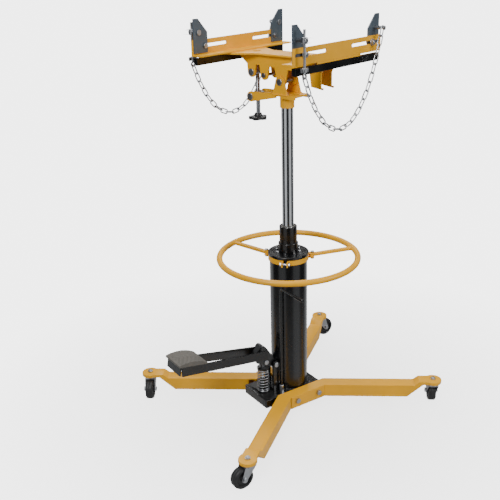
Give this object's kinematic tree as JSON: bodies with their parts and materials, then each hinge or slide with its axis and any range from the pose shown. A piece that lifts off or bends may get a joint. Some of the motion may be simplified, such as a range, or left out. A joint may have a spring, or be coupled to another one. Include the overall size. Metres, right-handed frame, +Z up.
{
  "type": "transmission jack",
  "caption": "Foot-pumped telescopic transmission jack: folded steel leg frame on swivel casters, chromed ram and a tilting saddle with sliding corner brackets and tie chains.",
  "frame": {"origin": "on the ram's axis at floor level, which is the bottom centre of the box", "axes": "+Z up along the ram, -X towards the pedal, +Y to the left of someone who stands at the pedal's back"},
  "size_m": [0.958, 0.734, 1.4],
  "materials": {
    "yellow_paint": "gloss",
    "black_paint": "satin",
    "zinc": "zinc plated",
    "chromed_steel": "polished",
    "slate_paint": "satin",
    "hidden_steel": "machined",
    "bronze": "machined",
    "grey_rubber": "matt",
    "black_plastic": "moulded",
    "wheel_black": "moulded"
  },
  "bodies": {
    "base": {"base_block": "black_paint", "leg_frame_left": "yellow_paint", "leg_frame_right": "yellow_paint", "frame_bolts": "zinc", "caster_races": "zinc", "king_bolts": "zinc", "reservoir_tube": "black_paint", "pressure_cylinder": "hidden_steel", "top_flange": "black_paint", "neck_sleeve": "black_paint", "neck_screws": "zinc", "guide_bush": "bronze", "rod_wiper": "grey_rubber", "pump_cylinder": "black_paint", "fulcrum_post": "black_paint", "fulcrum_pin": "zinc", "release_valve": "zinc", "handle_ring": "yellow_paint", "clamp_band": "yellow_paint", "clamp_bolts": "zinc", "pump_spring": "zinc"},
    "release": {"release_rod": "black_paint"},
    "pedal": {"pedal_knuckle": "black_paint", "pedal_arms": "black_paint", "foot_plate": "black_paint", "pedal_pad": "grey_rubber", "plunger_pin": "zinc"},
    "plunger": {"pump_plunger": "chromed_steel", "spring_cap": "black_paint"},
    "ram": {"ram": "chromed_steel", "piston": "hidden_steel"},
    "tilt_base_body": {"tilt_base": "yellow_paint", "tilt_pin": "zinc"},
    "lower_trunnion_body": {"lower_trunnion": "zinc"},
    "screw": {"tilt_screw": "zinc", "tilt_knob": "black_plastic"},
    "saddle": {"saddle_plate": "yellow_paint", "saddle_rails": "yellow_paint", "rail_backing": "black_paint", "rear_brackets": "slate_paint", "saddle_bolts": "zinc", "chain_left": "zinc", "chain_right": "zinc"},
    "upper_trunnion_body": {"upper_trunnion": "zinc"},
    "bracket_left": {"front_bracket_left": "slate_paint", "hook_rod_left": "zinc"},
    "bracket_right": {"front_bracket_right": "slate_paint", "hook_rod_right": "zinc"},
    "fork_front_left": {"caster_fork_front_left": "zinc", "caster_axle_front_left": "zinc"},
    "wheel_front_left": {"caster_wheel_front_left": "wheel_black"},
    "fork_front_right": {"caster_fork_front_right": "zinc", "caster_axle_front_right": "zinc"},
    "wheel_front_right": {"caster_wheel_front_right": "wheel_black"},
    "fork_rear_left": {"caster_fork_rear_left": "zinc", "caster_axle_rear_left": "zinc"},
    "wheel_rear_left": {"caster_wheel_rear_left": "wheel_black"},
    "fork_rear_right": {"caster_fork_rear_right": "zinc", "caster_axle_rear_right": "zinc"},
    "wheel_rear_right": {"caster_wheel_rear_right": "wheel_black"}
  },
  "joints": [
    {"name": "ram_lift", "type": "slide", "parent": "base", "child": "ram", "axis": [0, 0, 1], "range_m": [-0.4, 0]},
    {"name": "saddle_swivel", "type": "hinge", "parent": "ram", "child": "tilt_base_body", "pos_m": [0, 0, 1.15], "axis": [0, 0, 1], "continuous": true},
    {"name": "saddle_tilt", "type": "hinge", "parent": "tilt_base_body", "child": "saddle", "pos_m": [0, 0, 1.197], "axis": [0.9703, 0.2419, 0], "range_deg": [-10, 10]},
    {"name": "screw_swing", "type": "hinge", "parent": "tilt_base_body", "child": "lower_trunnion_body", "pos_m": [-0.03097, 0.1242, 1.138], "axis": [0.9703, 0.2419, 0], "range_deg": [-3, 3]},
    {"name": "upper_trunnion_turn", "type": "hinge", "parent": "saddle", "child": "upper_trunnion_body", "pos_m": [-0.03097, 0.1242, 1.218], "axis": [0.9703, 0.2419, 0], "range_deg": [-8, 8]},
    {"name": "knob_spin", "type": "hinge", "parent": "lower_trunnion_body", "child": "screw", "pos_m": [-0.03097, 0.1242, 1.138], "axis": [0, 0, 1], "continuous": true},
    {"name": "pedal_press", "type": "hinge", "parent": "base", "child": "pedal", "pos_m": [-0.08, 0, 0.185], "axis": [0, -1, 0], "range_deg": [0, 24], "stiffness_Nm_per_rad": 20, "springref_deg": -28.65},
    {"name": "plunger_slide", "type": "slide", "parent": "base", "child": "plunger", "axis": [0, 0, -1], "range_m": [0, 0.017], "deforming": ["pump_spring"]},
    {"name": "release_turn", "type": "hinge", "parent": "base", "child": "release", "pos_m": [-0.067, -0.044, 0.09], "axis": [0, 0, 1], "range_deg": [-60, 40]},
    {"name": "bracket_left_slide", "type": "slide", "parent": "saddle", "child": "bracket_left", "axis": [0.9703, 0.2419, 0], "range_m": [0, 0.1], "deforming": ["chain_left"]},
    {"name": "bracket_right_slide", "type": "slide", "parent": "saddle", "child": "bracket_right", "axis": [0.9703, 0.2419, 0], "range_m": [0, 0.1], "deforming": ["chain_right"]},
    {"name": "swivel_front_left", "type": "hinge", "parent": "base", "child": "fork_front_left", "pos_m": [-0.412, 0.336, 0.0775], "axis": [0, 0, 1], "continuous": true},
    {"name": "roll_front_left", "type": "hinge", "parent": "fork_front_left", "child": "wheel_front_left", "pos_m": [-0.42644, 0.31683, 0.0375], "axis": [-0.7986, 0.6018, 0], "continuous": true},
    {"name": "swivel_front_right", "type": "hinge", "parent": "base", "child": "fork_front_right", "pos_m": [-0.412, -0.336, 0.0775], "axis": [0, 0, 1], "continuous": true},
    {"name": "roll_front_right", "type": "hinge", "parent": "fork_front_right", "child": "wheel_front_right", "pos_m": [-0.436, -0.336, 0.0375], "axis": [0, 1, 0], "continuous": true},
    {"name": "swivel_rear_left", "type": "hinge", "parent": "base", "child": "fork_rear_left", "pos_m": [0.412, 0.336, 0.0775], "axis": [0, 0, 1], "continuous": true},
    {"name": "roll_rear_left", "type": "hinge", "parent": "fork_rear_left", "child": "wheel_rear_left", "pos_m": [0.436, 0.336, 0.0375], "axis": [0, -1, 0], "continuous": true},
    {"name": "swivel_rear_right", "type": "hinge", "parent": "base", "child": "fork_rear_right", "pos_m": [0.412, -0.336, 0.0775], "axis": [0, 0, 1], "continuous": true},
    {"name": "roll_rear_right", "type": "hinge", "parent": "fork_rear_right", "child": "wheel_rear_right", "pos_m": [0.42644, -0.31683, 0.0375], "axis": [0.7986, -0.6018, 0], "continuous": true}
  ],
  "couplings": [
    {"joint": "screw_swing", "follows": "saddle_tilt", "ratio": 0.242},
    {"joint": "upper_trunnion_turn", "follows": "saddle_tilt", "ratio": -0.758},
    {"joint": "plunger_slide", "follows": "pedal_press", "m_per_rad": 0.0392}
  ]
}
